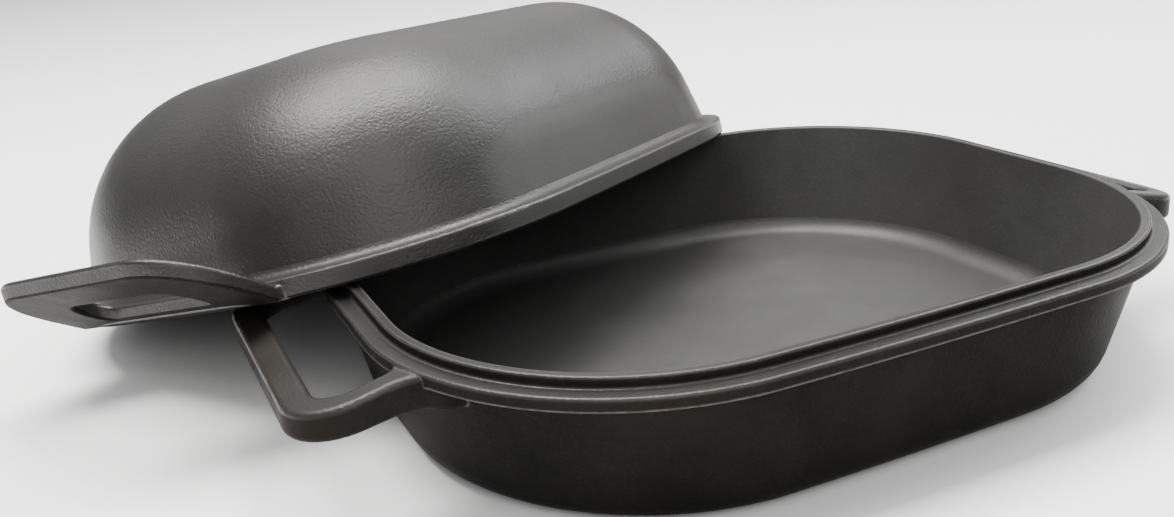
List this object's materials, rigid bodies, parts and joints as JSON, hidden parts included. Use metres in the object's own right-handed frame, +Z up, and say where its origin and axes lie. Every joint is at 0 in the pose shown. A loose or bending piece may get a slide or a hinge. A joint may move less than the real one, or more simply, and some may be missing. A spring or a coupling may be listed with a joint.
{
  "type": "lidded loaf pan",
  "caption": "Oblong cast-iron loaf pan with end loop handles and a domed lid that leans on its back rim and lifts off.",
  "frame": {"origin": "centre of the pan's flat foot, on the surface that the pan stands on", "axes": "+X along the pan's long side from its left handle to its right one, +Y from the front long side to the back, +Z up"},
  "size_m": [0.4755, 0.4527, 0.1377],
  "materials": {
    "pan_iron": "seasoned, matt, fine sand-cast grain",
    "lid_iron": "seasoned, satin, fine sand-cast grain"
  },
  "bodies": {
    "pan": {"pan_base": "pan_iron"},
    "lid": {"domed_lid": "lid_iron"}
  },
  "joints": [
    {"name": "lid_lift", "type": "slide", "parent": "pan", "child": "lid", "axis": [0, 0, 1], "range_m": [0, 0.16]}
  ]
}
